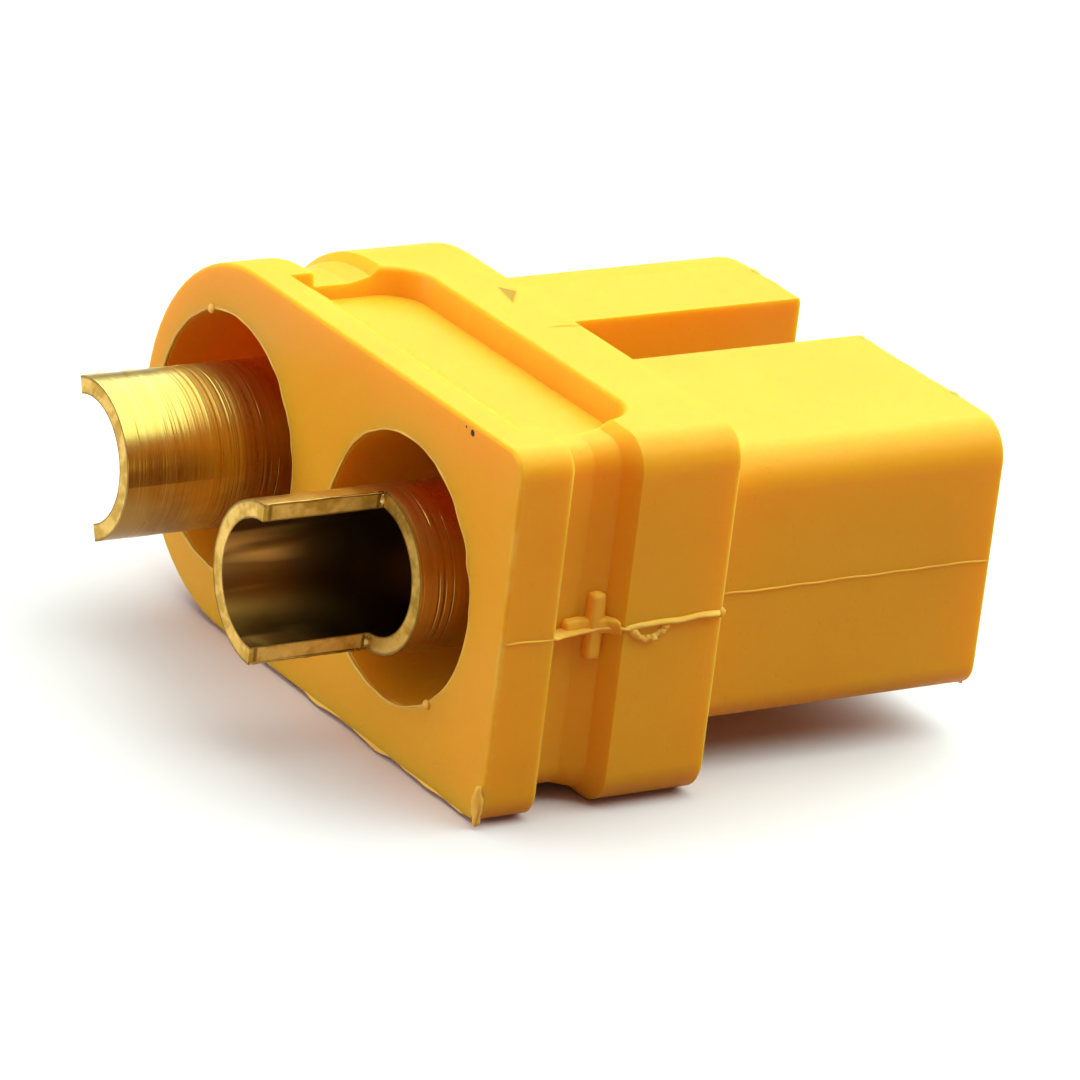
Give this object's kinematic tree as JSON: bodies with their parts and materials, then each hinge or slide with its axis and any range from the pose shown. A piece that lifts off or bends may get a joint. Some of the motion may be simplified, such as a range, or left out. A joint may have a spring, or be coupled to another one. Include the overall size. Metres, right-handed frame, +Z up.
{
  "type": "xt60 connector",
  "caption": "Polarised two-contact battery power connector, socket half: yellow nylon housing with slotted mating towers and brass solder cups at the wire side.",
  "frame": {"origin": "halfway between the two contact axes, in the flange face that stops the mating half", "axes": "+X across the contacts from minus to plus, +Y the mating direction out of the sockets, +Z up from the broad face it lies on"},
  "size_m": [0.0149, 0.0162, 0.0082],
  "materials": {
    "housing": "satin yellow nylon",
    "contact": "turned brass, saw-cut solder cup"
  },
  "bodies": {
    "root": {"housing": "housing", "positive_contact": "contact", "negative_contact": "contact"}
  },
  "joints": []
}
